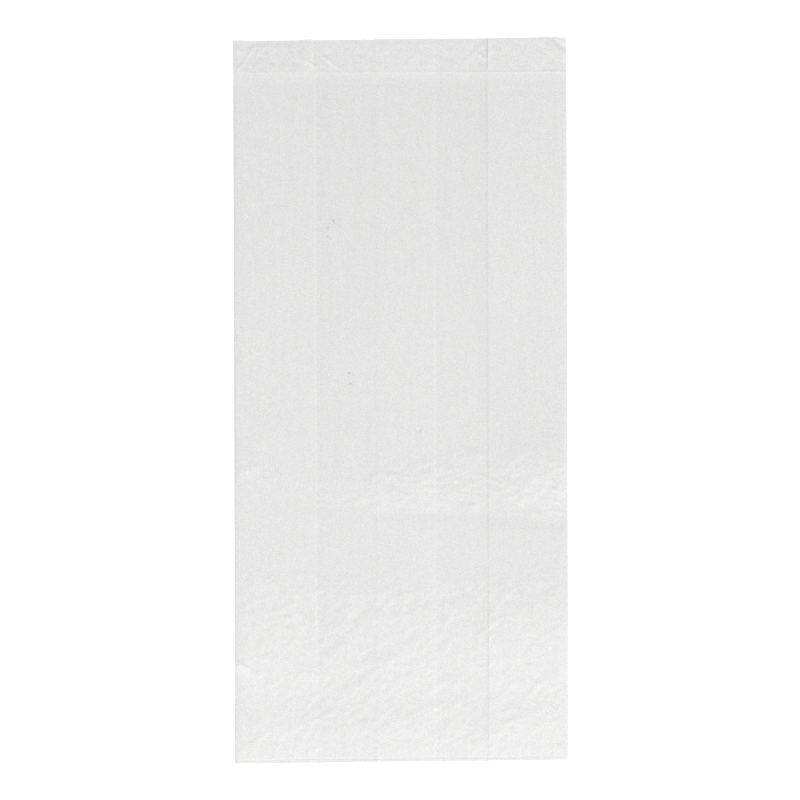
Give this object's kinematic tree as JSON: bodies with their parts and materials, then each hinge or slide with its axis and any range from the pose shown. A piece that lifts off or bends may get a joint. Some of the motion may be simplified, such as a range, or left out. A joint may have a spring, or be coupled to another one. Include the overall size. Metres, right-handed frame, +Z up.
{
  "type": "gusseted paper bag",
  "caption": "Flat, empty bag folded from thin translucent white paper, with side gussets, a stepped lip at the mouth, a lap seam down the back and a folded-over bottom.",
  "frame": {"origin": "centre of the bag's outline, on the surface that its back lies on", "axes": "+X across the bag, +Y along it from the bottom fold to the mouth, +Z up through the front leaf"},
  "size_m": [0.16, 0.348, 0.0017],
  "materials": {
    "glassine": "satin"
  },
  "bodies": {
    "root": {"bag": "glassine"}
  },
  "joints": []
}
